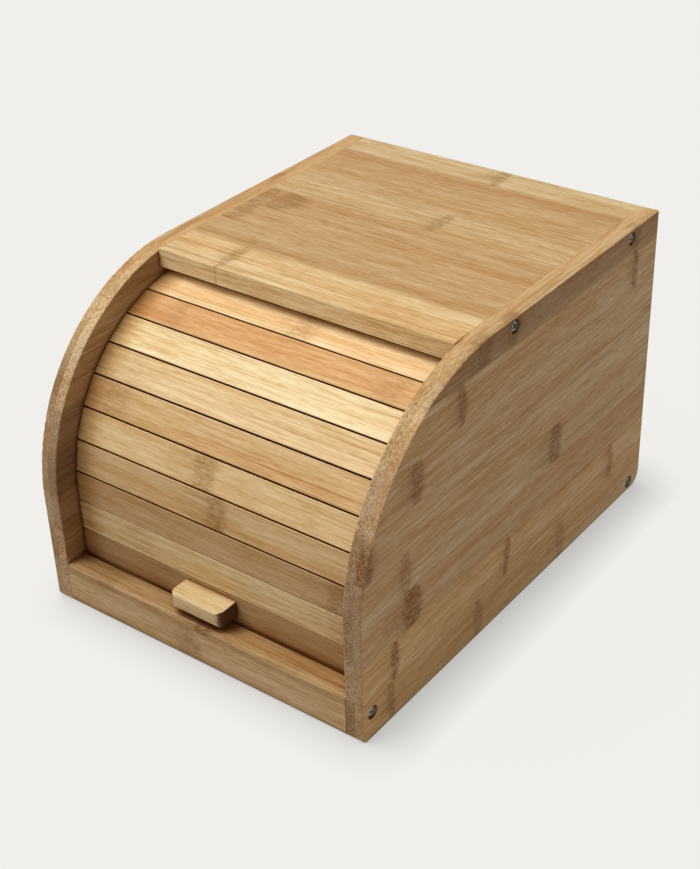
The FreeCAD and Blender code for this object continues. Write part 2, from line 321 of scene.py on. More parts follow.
class StudioSettings(bpy.types.PropertyGroup):
    """The floor, the lights and the camera."""

    backdrop: FloatVectorProperty(
        name="Backdrop",
        description="Colour that the floor and the background show",
        default=srgb(240, 239, 235),
        **COLOUR,
    )
    floor_bounce: FloatProperty(
        name="Floor bounce",
        description="Share of the light that the floor sends back up to the box",
        default=0.45,
        **SHARE,
    )
    shadow_share: FloatProperty(
        name="Shadow share",
        description="How much of the floor's brightness comes from the light on it, and so shows the shadow",
        default=0.03,
        **SHARE,
    )
    contact_shadow: FloatProperty(
        name="Contact shadow",
        description="How dark the floor goes close to the box",
        default=0.31,
        **SHARE,
    )
    contact_reach: FloatProperty(
        name="Contact reach",
        description="How far from the box the contact shadow reaches",
        default=34 * MM,
        min=1 * MM,
        unit="LENGTH",
    )
    contact_lean: FloatVectorProperty(
        name="Contact lean",
        description="Direction of the open sky that the contact shadow is measured against",
        default=(-0.40, -0.26, 0.879),
        **DIRECTION,
    )
    floor_size: FloatProperty(
        name="Floor size",
        description="Side of the square floor",
        default=8.0,
        min=1.0,
        unit="LENGTH",
    )
    key_strength: FloatProperty(
        name="Key light",
        description="Strength of the broad light from above, in watts per square metre",
        default=2.2,
        min=0,
    )
    key_spread: FloatProperty(
        name="Key spread",
        description="Angle that the key light fills in the sky",
        default=math.radians(42),
        min=0,
        max=math.pi,
        subtype="ANGLE",
    )
    key_from: FloatVectorProperty(
        name="Key direction",
        description="Direction from the box towards the key light",
        default=(-0.46, -0.30, 0.84),
        **DIRECTION,
    )
    sky_high: FloatProperty(
        name="Light from above",
        description="Strength of the room's light straight overhead",
        default=0.60,
        min=0,
    )
    sky_low: FloatProperty(
        name="Light from the sides",
        description="Strength of the room's light at the height of the box",
        default=0.24,
        min=0,
    )
    lens: FloatProperty(
        name="Lens",
        description="Focal length on a frame 36 mm high",
        default=65.05,
        min=10,
        subtype="DISTANCE_CAMERA",
    )
    camera_place: FloatVectorProperty(
        name="Camera place",
        description="Where the camera stands",
        default=(0.51408, -0.67286, 0.61080),
        **PLACE,
    )
    camera_aim: FloatVectorProperty(
        name="Camera aim",
        description="The point that the camera looks at",
        default=(0.01699, -0.03011, 0.10000),
        **PLACE,
    )
    camera_roll: FloatProperty(
        name="Camera roll",
        description="How far the camera leans, anticlockwise",
        default=math.radians(-1.99),
        subtype="ANGLE",
    )


# --- Building node trees --------------------------------------------------------------------------
class Graph:
    """A node tree that grows: each method adds a node and gives the socket that comes out of it."""

    def __init__(self, tree):
        self.tree = tree

    def node(self, kind, sockets=None, **settings):
        made = self.tree.nodes.new("ShaderNode" + kind)
        for name, value in settings.items():
            setattr(made, name, value)
        for key, value in (sockets or {}).items():
            self.feed(made.inputs[key], value)
        return made

    def feed(self, socket, value):
        if isinstance(value, bpy.types.NodeSocket):
            self.tree.links.new(value, socket)
        elif isinstance(socket, bpy.types.NodeSocketColor) and len(value) == 3:
            socket.default_value = (*value, 1)
        else:
            socket.default_value = value

    def math(self, operation, *values, clamp=False):
        made = self.node("Math", dict(enumerate(values)), operation=operation, use_clamp=clamp)
        return made.outputs[0]

    def vector(self, operation, *values):
        made = self.node("VectorMath", dict(enumerate(values)), operation=operation)
        return made.outputs["Value" if operation == "DOT_PRODUCT" else "Vector"]

    def join(self, x, y, z):
        return self.node("CombineXYZ", {0: x, 1: y, 2: z}).outputs[0]

    def split(self, vector):
        return self.node("SeparateXYZ", {0: vector}).outputs

    def noise(self, vector, stretch, detail=2.0, roughness=0.5):
        """Noise whose size along each axis is set by how much the vector is stretched there."""
        place = self.vector("MULTIPLY", vector, stretch)
        sockets = {"Vector": place, "Scale": 1.0, "Detail": detail, "Roughness": roughness}
        return self.node("TexNoise", sockets).outputs[0]

    def remap(self, value, low, high, to_low=0.0, to_high=1.0, kind="SMOOTHSTEP"):
        """Low becomes to_low and high becomes to_high; what lies beyond them stays at those two."""
        sockets = {"Value": value, "From Min": low, "From Max": high, "To Min": to_low, "To Max": to_high}
        return self.node("MapRange", sockets, interpolation_type=kind).outputs[0]

    def mix(self, factor, first, second, blend="MIX"):
        made = self.node("Mix", data_type="RGBA", blend_type=blend)
        for socket, value in ((made.inputs[0], factor), (made.inputs[6], first), (made.inputs[7], second)):
            self.feed(socket, value)
        return made.outputs[2]

    def tint(self, factor, colour, tint):
        """The colour multiplied by a tint, by as much as the factor says."""
        return self.mix(factor, colour, tint, "MULTIPLY")

    def choose(self, factor, first, second):
        """A number that goes from the first to the second as the factor goes from 0 to 1."""
        return self.remap(factor, 0.0, 1.0, first, second, "LINEAR")

    def facing(self, axis):
        """How squarely the surface faces along an axis, and 0 or less where it faces away."""
        return self.vector("DOT_PRODUCT", self.node("TexCoord").outputs["Normal"], axis)

    def steps(self, value, colours, softness):
        """A row of colours, one for each whole number, that blend over the softness on both sides."""
        made = self.node("ValToRGB", {0: self.math("DIVIDE", value, len(colours))})
        ramp = made.color_ramp
        ramp.interpolation = "EASE"
        ramp.elements.remove(ramp.elements[1])
        ramp.elements[0].color = (*colours[0], 1)
        for number in range(1, len(colours)):
            before = (number - softness, colours[number - 1])
            after = (number + softness, colours[number])
            for place, colour in (before, after):
                ramp.elements.new(place / len(colours)).color = (*colour, 1)
        return made.outputs[0]


def new_group(name, inputs, outputs):
    """A node group, the graph inside it, the sockets that flow in, and those that its results are fed to."""
    tree = bpy.data.node_groups.new(name, "ShaderNodeTree")
    for flow, sockets in (("INPUT", inputs), ("OUTPUT", outputs)):
        for label, kind in sockets:
            tree.interface.new_socket(name=label, in_out=flow, socket_type="NodeSocket" + kind)
    graph = Graph(tree)
    source = tree.nodes.new("NodeGroupInput").outputs
    drain = tree.nodes.new("NodeGroupOutput").inputs
    return tree, graph, source, drain


def use_group(graph, tree, sockets):
    """Puts a node group into the graph, feeds its sockets and gives what comes out of it."""
    made = graph.node("Group")
    made.node_tree = tree
    for key, value in sockets.items():
        graph.feed(made.inputs[key], value)
    return made.outputs


def new_material(name):
    """An empty node material with its graph and its shader, whose output is already wired."""
    material = bpy.data.materials.new(name)
    material.use_nodes = True
    material.node_tree.nodes.clear()
    graph = Graph(material.node_tree)
    shader = graph.node("BsdfPrincipled")
    graph.node("OutputMaterial", {"Surface": shader.outputs[0]})
    return material, graph, shader


def dress(node, material):
    """Gives a CAD node its finish."""
    mesh = frame["nodes"][node].data
    mesh.materials.clear()
    mesh.materials.append(material)


# --- Bamboo ---------------------------------------------------------------------------------------
# Each kind of noise is stretched by so much per metre along, across and through the grain.
BROAD_BANDS = (3.2, 60, 60)
STREAKS = (13, 280, 280)
FIBRES = (36, 800, 800)
MOTTLE = (160, 1150, 1150)
VEINS = (5, 620, 620)
VEIN_CLUSTERS = (3, 30, 30)
SPECKS = (260, 980, 980)
BUNDLES = (30, 720, 720)
PITH = (60, 820, 820)
SWAY = (4, 90, 90)
JITTER = (14, 800, 800)
# How far the grain of one strip is moved from that of the next, so that no two are alike.
STRIP_SHIFT = (0.713, 0.297, 0.131)
# How much each kind of noise counts in the weave of light and dark, and the middle of their sum.
BAND_WEIGHT = 0.9
STREAK_WEIGHT = 1.0
FIBRE_WEIGHT = 2.1
MOTTLE_WEIGHT = 0.9
WEAVE_MIDDLE = 2.45
PLANK_CONTRAST = 0.88
PANEL_CONTRAST = 1.1
SIDE_CONTRAST = 1.25
# Tints, which multiply the colour under them.
DARK_STREAK = (0.79, 0.68, 0.50)
LIGHT_STREAK = (1.12, 1.20, 1.34)
WARM_BAND = (0.98, 0.92, 0.86)
END_GRAIN = (0.66, 0.64, 0.68)
BUNDLE_TINT = (0.68, 0.61, 0.56)
MARK_TINT = (0.44, 0.31, 0.17)
# Painted shade on the side panels' faces that look into the box.
INNER_FACE_SHADE = (0.52, 0.43, 0.36)
# Painted shade on the slats' sawn edges, which face each other across the dark gaps.
SAWN_EDGE_SHADE = (0.62, 0.34, 0.12)
# Painted shade on the pull's front and back faces, for the shade under its rounded front.
PULL_FRONT_SHADE = (0.84, 0.80, 0.76)
# The pull's ends: partly darker end grain, partly painted shade on the end that faces away from the light.
PULL_END_SHADE = (0.24, 0.16, 0.13)
# Painted shade on a slat's left end, in the shadow of the left side panel.
LEFT_END_SHADE = (0.88, 0.76, 0.60)
# Painted shade: darkens the wood in corners and recesses, where little light reaches.
CORNER_SHADE = (0.45, 0.30, 0.18)
NO_TINT = (1, 1, 1)
# Remaps: the value at which each begins, the one at which it is full, and what those become if not 0 and 1.
WARM_BAND_SPAN = (0.55, 0.40)
VEIN_SPAN = (0.58, 0.68)
CLUSTER_SPAN = (0.46, 0.62)
SPECK_SPAN = (0.38, 0.62, 0.45, 1.12)
BUNDLE_SPAN = (0.50, 0.15)
SPECKLE_SPAN = (0.0, 0.4)
PITH_SPAN = (0.52, 0.72, 0.0, 0.5)
CORNER_SHADE_SPAN = (0.86, 0.40)
ROUGHNESS_SPAN = (0.3, 0.7, 0.46, 0.60)
MARK_LINE_SPAN = (1.00, 0.35)
HALO_RISE = (-2.8, -0.1)
HALO_FALL = (1.2, 0.3)
END_SPAN = (0.25, 0.85)
ARRIS_SPAN = (0.15, 0.6)
SAWN_SHADE_SPAN = (0.86, 0.95)
RIM_SPAN = (0.9, 0.5)
INNER_FACE_SHADE_SPAN = (0.6, 0.95)
LEFT_END_SHADE_SPAN = (86 * MM, 101 * MM)
JOINT_SPAN = (0.32 * MM, 0.05 * MM)
PLY_GLUE_SPAN = (0.28 * MM, 0.05 * MM, 0.0, 0.7)
# Strengths, from 0 to 1.
VEIN_STRENGTH = 0.45
HALO_STRENGTH = 0.45
MARK_LOSS_ON_END = 0.15
# Painted highlight on the arrises, partly the paler look of sanded edges.
ARRIS_HIGHLIGHT = 0.18
GLUE_STRENGTH = 0.4
GLUE_LOSS_ON_END = 0.3
OUTER_SPECKLE = 0.45
INNER_SPECKLE = 0.9
# How much rougher the end grain is than the face, and how much smoother an arris.
END_ROUGHNESS = 0.14
ARRIS_POLISH = 0.06
# What the fibres, the streaks and the specks of a mark add to the relief, and how deep it goes.
FIBRE_RELIEF = 0.7
STREAK_RELIEF = 0.5
MARK_RELIEF = 0.5
BUMP_STRENGTH = 0.45
BUMP_DEPTH = 0.12 * MM
BAMBOO_SPECULAR = 0.07
# How far a mark's edge sways along the grain, and how much narrower it gets towards its strip's sides.
SWAY_REACH = 7 * MM
JITTER_REACH = 2.6 * MM
MARK_NARROWING = 0.5
# How far out of a corner the painted shade reaches; the rail's reaches further and paints the shadow under
# the pull.
CORNER_REACH = 5.5 * MM
RAIL_CORNER_REACH = 12 * MM
# How far two strips blend into each other at a joint, as a share of a strip's width.
CRISP_JOINT = 0.01
TOP_JOINT = 0.10
SIDE_JOINT = 0.14
# How much lighter than other end grain the ends of the top panel's strips are: painted light on the narrow
# end faces that the side panels shade.
TOP_END_PAINTED_LIGHT = 2.2
# Two strip numbers that differ by less than this are the same.
SAME_STRIP = 0.6
# What keeps the grain of each piece from being like another's.
SEEDS = {
    "side_panel_right": 3,
    "side_panel_left": 29,
    "top_panel": 57,
    "bottom_panel": 83,
    "back_panel": 131,
    "front_rail": 151,
    "pull": 97,
}
SLAT_SEED_STEP = 7


def bamboo_group():
    """Fibres, veins, node marks and end grain over a strip's own colour, with painted shade in corners and a
    painted highlight on arrises.  Grain is in metres, X along it.
    """
    name = "bamboo"
    if name in bpy.data.node_groups:
        return bpy.data.node_groups[name]
    settings = bpy.context.scene.bread_box_bamboo
    tree, graph, source, drain = new_group(
        name,
        (("Grain", "Vector"), ("Tone", "Color"), ("Mark", "Float"), ("End", "Float"), ("Arris", "Float"),
         ("Contrast", "Float"), ("Speckle", "Float"), ("Reach", "Float")),
        (("Colour", "Color"), ("Roughness", "Float"), ("Height", "Float")),
    )
    grain = source["Grain"]
    end = source["End"]
    arris = source["Arris"]
    bands = graph.noise(grain, BROAD_BANDS, 2.0)
    streaks = graph.noise(grain, STREAKS, 3.0, 0.6)
    fibres = graph.noise(grain, FIBRES, 2.0, 0.6)
    mottle = graph.noise(grain, MOTTLE, 1.0)
    weave = graph.math("MULTIPLY", streaks, STREAK_WEIGHT)
    for layer, weight in ((bands, BAND_WEIGHT), (fibres, FIBRE_WEIGHT), (mottle, MOTTLE_WEIGHT)):
        weave = graph.math("MULTIPLY_ADD", layer, weight, weave)
    light = graph.math("SUBTRACT", weave, WEAVE_MIDDLE)
    light = graph.math("MULTIPLY_ADD", light, source["Contrast"], 0.5, clamp=True)
    dark_tone = graph.tint(1.0, source["Tone"], DARK_STREAK)
    light_tone = graph.tint(1.0, source["Tone"], LIGHT_STREAK)
    colour = graph.mix(light, dark_tone, light_tone)
    colour = graph.tint(graph.remap(bands, *WARM_BAND_SPAN), colour, WARM_BAND)

    veins = graph.remap(graph.noise(grain, VEINS, 2.0), *VEIN_SPAN)
    clusters = graph.remap(graph.noise(grain, VEIN_CLUSTERS, 1.0), *CLUSTER_SPAN)
    vein = graph.math("MULTIPLY", graph.math("MULTIPLY", veins, clusters), VEIN_STRENGTH)
    colour = graph.tint(vein, colour, settings.stain)

    specks = graph.noise(grain, SPECKS, 2.0, 0.6)
    mark = graph.math("MULTIPLY", source["Mark"], graph.remap(specks, *SPECK_SPAN))
    mark = graph.math("MULTIPLY", mark, graph.math("MULTIPLY_ADD", end, -MARK_LOSS_ON_END, 1.0))
    colour = graph.tint(mark, colour, MARK_TINT)

    bundles = graph.node("TexVoronoi", {"Vector": graph.vector("MULTIPLY", grain, BUNDLES), "Scale": 1.0})
    dots = graph.remap(bundles.outputs["Distance"], *BUNDLE_SPAN)
    colour = graph.tint(end, colour, END_GRAIN)
    speckle = graph.math("MULTIPLY", graph.remap(end, *SPECKLE_SPAN), source["Speckle"])
    colour = graph.tint(graph.math("MULTIPLY", dots, speckle), colour, BUNDLE_TINT)
    pith = graph.remap(graph.noise(grain, PITH, 1.0), *PITH_SPAN)
    colour = graph.mix(graph.math("MULTIPLY", pith, speckle), colour, light_tone)
    # Painted highlight on the rounded arrises, partly the paler look of sanded edges.
    colour = graph.mix(graph.math("MULTIPLY", arris, ARRIS_HIGHLIGHT), colour, light_tone)

    # Painted shade in corners: the wood darkens where other surfaces close it in, within the reach.
    open_air = graph.node("AmbientOcclusion", {"Distance": source["Reach"]}).outputs["AO"]
    corner_shade = graph.math("MULTIPLY", graph.remap(open_air, *CORNER_SHADE_SPAN), graph.math("SUBTRACT", 1.0, end))
    graph.feed(drain["Colour"], graph.tint(corner_shade, colour, CORNER_SHADE))

    rough = graph.remap(streaks, *ROUGHNESS_SPAN, "LINEAR")
    rough = graph.math("MULTIPLY_ADD", end, END_ROUGHNESS, rough)
    graph.feed(drain["Roughness"], graph.math("MULTIPLY_ADD", arris, -ARRIS_POLISH, rough))

    relief = graph.math("MULTIPLY_ADD", fibres, FIBRE_RELIEF, graph.math("MULTIPLY", streaks, STREAK_RELIEF))
    relief = graph.math("MULTIPLY_ADD", specks, graph.math("MULTIPLY", source["Mark"], MARK_RELIEF), relief)
    graph.feed(drain["Height"], graph.math("SUBTRACT", relief, graph.math("MULTIPLY", dots, end)))
    return tree


def mark_group():
    """A node mark on one strip, laid over the marks so far: a dark line with a paler halo on one side."""
    name = "node mark"
    if name in bpy.data.node_groups:
        return bpy.data.node_groups[name]
    floats = ("Along", "Index", "Strip", "Place", "Width", "Strength", "Marks so far")
    tree, graph, source, drain = new_group(name, [(label, "Float") for label in floats], (("Mark", "Float"),))
    share = graph.math("DIVIDE", graph.math("SUBTRACT", source["Along"], source["Place"]), source["Width"])
    line = graph.remap(graph.math("ABSOLUTE", share), *MARK_LINE_SPAN)
    halo = graph.math("MULTIPLY", graph.remap(share, *HALO_RISE), graph.remap(share, *HALO_FALL))
    band = graph.math("MAXIMUM", line, graph.math("MULTIPLY", halo, HALO_STRENGTH))
    same = graph.math("COMPARE", source["Index"], source["Strip"], SAME_STRIP)
    mark = graph.math("MULTIPLY", graph.math("MULTIPLY", band, same), source["Strength"])
    graph.feed(drain["Mark"], graph.math("MAXIMUM", mark, source["Marks so far"]))
    return tree


def tone_of(strip):
    """A strip's linear colour."""
    settings = bpy.context.scene.bread_box_bamboo
    return tuple(
        min((pale + (honey - pale) * strip.warmth) * strip.shade, 1)
        for pale, honey in zip(settings.pale, settings.honey)
    )


def place_in_grain(graph, origin, axes):
    """How far a point lies from the origin along, across and through the grain, which run along the axes."""
    place = graph.node("TexCoord").outputs["Object"]
    off = graph.vector("SUBTRACT", place, origin)
    return [graph.vector("DOT_PRODUCT", off, axis) for axis in axes]


def moved_grain(graph, parts, moves):
    """The place in the grain, moved along each axis."""
    return graph.join(*[graph.math("ADD", part, move) for part, move in zip(parts, moves)])


def end_and_arris(graph, grain_axis, arris_axis):
    """How squarely the surface cuts the grain, and where it rounds over between an axis and the rest."""
    cut = graph.math("ABSOLUTE", graph.facing(grain_axis))
    lean = graph.math("ABSOLUTE", graph.facing(arris_axis))
    rest = graph.math("SQRT", graph.math("SUBTRACT", 1.0, graph.math("MULTIPLY", lean, lean), clamp=True))
    arris = graph.remap(graph.math("MINIMUM", lean, rest), *ARRIS_SPAN)
    return graph.remap(cut, *END_SPAN), arris


def wavering(graph, grain, along):
    """The place along the grain, wavering from fibre to fibre so that a mark's edge isn't straight."""
    for noise, reach in ((SWAY, SWAY_REACH), (JITTER, JITTER_REACH)):
        off = graph.math("SUBTRACT", graph.noise(grain, noise, 1.0), 0.5)
        along = graph.math("MULTIPLY_ADD", off, reach, along)
    return along


def marks_on(graph, along, index, strips, bulge=1.0):
    """All the node marks of a row of strips, each as wide as the bulge makes it across its strip."""
    total = 0.0
    for number, strip in enumerate(strips):
        for mark in strip.marks:
            sockets = {
                "Along": along,
                "Index": index,
                "Strip": number,
                "Place": mark.place * MM,
                "Width": graph.math("MULTIPLY", bulge, mark.width * MM),
                "Strength": mark.strength,
                "Marks so far": total,
            }
            total = use_group(graph, mark_group(), sockets)["Mark"]
    return total


def finish_bamboo(graph, shader, sockets, joint=0.0):
    """Feeds the shader from the bamboo group, with a fine dark glue line where joint is 1."""
    settings = bpy.context.scene.bread_box_bamboo
    wood = use_group(graph, bamboo_group(), sockets)
    strength = graph.math("MULTIPLY_ADD", sockets["End"], -GLUE_LOSS_ON_END, GLUE_STRENGTH)
    colour = graph.tint(graph.math("MULTIPLY", joint, strength), wood["Colour"], settings.stain)
    height = graph.math("SUBTRACT", wood["Height"], joint)
    bump = graph.node("Bump", {"Height": height, "Strength": BUMP_STRENGTH, "Distance": BUMP_DEPTH})
    graph.feed(shader.inputs["Base Color"], colour)
    graph.feed(shader.inputs["Roughness"], wood["Roughness"])
    graph.feed(shader.inputs["Normal"], bump.outputs[0])
    shader.inputs["Specular IOR Level"].default_value = BAMBOO_SPECULAR
    shader.inputs["Coat Weight"].default_value = settings.gloss
    shader.inputs["Coat Roughness"].default_value = settings.lacquer_roughness


def plank_material(name, strip, seed, origin, axes, arris_axis, sawn_shade_tint, end_grain_and_shade=NO_TINT, shaded_left_end=False):
    """A piece cut from one strip.  Its sawn edges take painted shade, its ends a tint that is partly end
    grain and partly painted shade, and one with a shaded left end darkens towards -X with painted shade.
    """
    material, graph, shader = new_material(name)
    parts = place_in_grain(graph, origin, axes)
    grain = moved_grain(graph, parts, [seed * step for step in STRIP_SHIFT])
    end, arris = end_and_arris(graph, axes[0], arris_axis)
    marks = marks_on(graph, wavering(graph, grain, parts[0]), 0.0, (strip,))
    tone = tone_of(strip)
    # Painted shade on the faces across the strip: a slat's edges in the dark gaps, the pull's front and back.
    sawn_shaded_tone = tuple(part * tint for part, tint in zip(tone, sawn_shade_tint))
    sawn = graph.remap(graph.math("ABSOLUTE", graph.facing(axes[1])), *SAWN_SHADE_SPAN)
    tone = graph.mix(sawn, tone, sawn_shaded_tone)
    # The ends' tint: partly end grain colour, partly painted shade.
    tone = graph.tint(end, tone, end_grain_and_shade)
    # Painted shade towards the left end, where the left side panel shades the slat.
    if shaded_left_end:
        left_shade = graph.remap(graph.math("MULTIPLY", parts[0], -1.0), *LEFT_END_SHADE_SPAN)
        tone = graph.tint(left_shade, tone, LEFT_END_SHADE)
    sockets = {"Grain": grain, "Tone": tone, "Mark": marks, "End": end, "Arris": arris,
               "Contrast": PLANK_CONTRAST, "Speckle": 1.0, "Reach": CORNER_REACH}
    finish_bamboo(graph, shader, sockets)
    return material


def strip_tones(graph, run, strips, softness):
    """The tone at a place in a row of strips, which the run counts."""
    return graph.steps(run, [tone_of(strip) for strip in strips], softness)


def strip_row(graph, parts, run, strips, seed, softness):
    """Tone, marks and grain of a row of strips, which the run counts."""
    index = graph.math("FLOOR", run)
    index = graph.math("MINIMUM", graph.math("MAXIMUM", index, 0.0), len(strips) - 1.0)
    turn = graph.math("ADD", index, seed)
    grain = moved_grain(graph, parts, [graph.math("MULTIPLY", turn, step) for step in STRIP_SHIFT])
    off_middle = graph.math("MULTIPLY_ADD", graph.math("SUBTRACT", run, index), 2.0, -1.0)
    bulge = graph.math("MULTIPLY_ADD", graph.math("MULTIPLY", off_middle, off_middle), -MARK_NARROWING, 1.0)
    marks = marks_on(graph, wavering(graph, grain, parts[0]), index, strips, bulge)
    return strip_tones(graph, run, strips, softness), marks, grain


def panel_material(name, axes, strips, seed, first_joint, softness=CRISP_JOINT, end_light=1.0,
                   contrast=PANEL_CONTRAST, reach=CORNER_REACH, rim=None, inner=None):
    """A panel glued up from a row of strips, whose joint after the first strip is given.

    The rim gives the strips their tones where the panel's edge shows, so that the face's own tones can carry
    painted shade.  Inner gives a second
    ply: its strips, how far from the middle of the box the two plies meet, and the way inward, whose face
    takes painted shade.
    """
    material, graph, shader = new_material(name)
    width = bpy.context.scene.bread_box_bamboo.strip_width
    parts = place_in_grain(graph, Vector(), axes)
    end, arris = end_and_arris(graph, axes[0], X_AXIS)
    run = graph.math("DIVIDE", graph.math("SUBTRACT", parts[1], first_joint), width)
    run = graph.math("ADD", run, 1.0)
    to_joint = graph.math("ABSOLUTE", graph.math("SUBTRACT", run, graph.math("ROUND", run)))
    joint = graph.remap(graph.math("MULTIPLY", to_joint, width), *JOINT_SPAN)
    tone, marks, grain = strip_row(graph, parts, run, strips, seed, softness)
    speckle = 1.0
    if rim:
        # The rim takes its own tones; the outward face keeps the darker ones, which hold painted shade.
        edge = graph.remap(graph.math("ABSOLUTE", graph.facing(axes[2])), *RIM_SPAN)
        tone = graph.mix(edge, tone, strip_tones(graph, run, rim, softness))
    if inner:
        inner_strips, face, inward = inner
        behind = graph.math("SUBTRACT", graph.math("ABSOLUTE", parts[2]), face)
        inside = graph.math("LESS_THAN", behind, 0.0)
        second = strip_row(graph, parts, run, inner_strips, seed + len(strips), softness)
        tone = graph.mix(inside, tone, second[0])
        marks = graph.choose(inside, marks, second[1])
        grain = graph.mix(inside, grain, second[2])
        joint = graph.math("MAXIMUM", joint, graph.remap(graph.math("ABSOLUTE", behind), *PLY_GLUE_SPAN))
        # Painted shade on the face that looks into the box, where the top and the curtain shade it.
        tone = graph.tint(graph.remap(graph.facing(inward), *INNER_FACE_SHADE_SPAN), tone, INNER_FACE_SHADE)
        speckle = graph.choose(inside, OUTER_SPECKLE, INNER_SPECKLE)
    # Painted light on the end faces; only the top panel lifts them.
    tone = graph.tint(end, tone, (end_light,) * 3)
    sockets = {"Grain": grain, "Tone": tone, "Mark": marks, "End": end, "Arris": arris,
               "Contrast": contrast, "Speckle": speckle, "Reach": reach}
    finish_bamboo(graph, shader, sockets, joint)
    return material


def hidden_strips(seed):
    """Strips for a panel that is seldom seen, each with a node mark or none, the same each time."""
    dice = random.Random(seed)
    strips = []
    for _ in range(HIDDEN_STRIPS):
        marks = ()
        if dice.random() < HIDDEN_MARK_SHARE:
            marks = (Mark(*[dice.uniform(*ends) for ends in HIDDEN_MARKS]),)
        strips.append(Strip(dice.uniform(*HIDDEN_WARMTHS), dice.uniform(*HIDDEN_SHADES), marks))
    return strips


# --- Cloth and metal ------------------------------------------------------------------------------
# The threads' thick and thin places: noise per metre along X, per radian round the guide and per
# metre outward.
SLUB = (180, 12, 50)
# The darkest and the lightest of the canvas, as shares of its colour.
CANVAS_DARK = 0.45
CANVAS_LIGHT = 1.15
CANVAS_ROUGHNESS_SPAN = (0.2, 0.8, 0.82, 0.95)
CANVAS_BUMP_STRENGTH = 0.8
CANVAS_BUMP_DEPTH = 0.25 * MM
CANVAS_SPECULAR = 0.05
# Noise in the zinc, per metre each way, and the darkest of the zinc as a share of its colour.
CLOUD = (420, 420, 420)
GRIT = (2600, 2600, 2600)
ZINC_DARK = 0.55
CLOUD_SPAN = (0.35, 0.6)
ZINC_ROUGHNESS_SPAN = (0.3, 0.7, 0.28, 0.46)
ZINC_BUMP_STRENGTH = 0.25
ZINC_BUMP_DEPTH = 0.03 * MM


def canvas_material(settings):
    """A plain weave: warp along X, weft round the guide, each thread crossing over and under."""
    material, graph, shader = new_material("canvas weave")
    place = graph.node("TexCoord").outputs["Object"]
    x, y, z = graph.split(graph.vector("SUBTRACT", place, HINGE["pos_m"]))
    radius = graph.math("SQRT", graph.math("MULTIPLY_ADD", y, y, graph.math("MULTIPLY", z, z)))
    turn = graph.math("ARCTAN2", z, graph.math("MULTIPLY", y, -1.0))
    front = (Vector(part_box("canvas_backing")[0]) - Vector(HINGE["pos_m"])).y
    runs = (x, graph.math("MULTIPLY", turn, abs(front)))
    threads = [graph.math("MULTIPLY", run, math.pi / settings.thread) for run in runs]
    waves = [graph.math("ABSOLUTE", graph.math("SINE", thread)) for thread in threads]
    crossing = graph.math("MULTIPLY", *[graph.math("SINE", thread) for thread in threads])
    height = graph.choose(graph.math("GREATER_THAN", crossing, 0.0), *waves)
    slub = graph.noise(graph.join(x, turn, radius), SLUB, 3.0)
    shade = graph.math("MULTIPLY_ADD", slub, 0.5, graph.math("MULTIPLY", height, 0.5))
    dark = tuple(CANVAS_DARK * part for part in settings.colour)
    light = tuple(min(CANVAS_LIGHT * part, 1) for part in settings.colour)
    graph.feed(shader.inputs["Base Color"], graph.mix(shade, dark, light))
    graph.feed(shader.inputs["Roughness"], graph.remap(slub, *CANVAS_ROUGHNESS_SPAN, "LINEAR"))
    sockets = {"Height": height, "Strength": CANVAS_BUMP_STRENGTH, "Distance": CANVAS_BUMP_DEPTH}
    graph.feed(shader.inputs["Normal"], graph.node("Bump", sockets).outputs[0])
    shader.inputs["Specular IOR Level"].default_value = CANVAS_SPECULAR
    return material


def zinc_material(settings):
    """Bright zinc plating, cloudy and finely gritty.  The screws share it."""
    name = "zinc plate"
    if name in bpy.data.materials:
        return bpy.data.materials[name]
    material, graph, shader = new_material(name)
    place = graph.node("TexCoord").outputs["Object"]
    cloud = graph.noise(place, CLOUD, 3.0)
    grit = graph.noise(place, GRIT, 2.0)
    dark = tuple(ZINC_DARK * part for part in settings.zinc)
    graph.feed(shader.inputs["Base Color"], graph.mix(graph.remap(cloud, *CLOUD_SPAN), dark, settings.zinc))
    graph.feed(shader.inputs["Roughness"], graph.remap(grit, *ZINC_ROUGHNESS_SPAN, "LINEAR"))
    sockets = {"Height": grit, "Strength": ZINC_BUMP_STRENGTH, "Distance": ZINC_BUMP_DEPTH}
    graph.feed(shader.inputs["Normal"], graph.node("Bump", sockets).outputs[0])
    shader.inputs["Metallic"].default_value = 1.0
    return material


# --- Screws ---------------------------------------------------------------------------------------
HEAD_SEGMENTS = 40
# The head's radius on its seat, where the dome's curve ends and on its flat top, as shares of the full
# radius, and the height of its rim as a share of the head's.
SEAT_RADIUS = 0.94
DOME_RADIUS = 0.42
CROWN_RADIUS = 0.36
RIM_HEIGHT = 0.42
RIM_BEVEL = 0.12 * MM
# The dome's curve would take so many steps from the rim to the top, and stops after so many rings.
DOME_STEPS = 6.6
DOME_RINGS = 6
DRIVE_DEPTH = 1.5 * MM
DRIVE_MOUTH = 2.5 * MM
DRIVE_FLOOR = 1.5 * MM
DRIVE_WIDTH = 1.15 * MM
DRIVE_TAPER = 0.62
DRIVE_OVERSHOOT = 0.3 * MM
THREAD_SEGMENTS = 20
RINGS_PER_TURN = 6
# Half the width of the thread's ridge, as a share of its pitch.
RIDGE = 0.28
POINT_LENGTH = 5 * MM
BARE_LENGTH = 6 * MM
# How much further each screw of a set is driven round than the one before it.
TURN_STEP = 0.9
SHARP_ANGLE = math.radians(35)
# Each CAD node of screws, the piece that stands for it and how far its first screw is driven round.
SCREW_SETS = (
    ("rail_screws", "rail_wood_screws", 0.5),
    ("top_screws", "top_wood_screws", 0.2),
    ("bottom_screws", "bottom_wood_screws", 0.7),
)


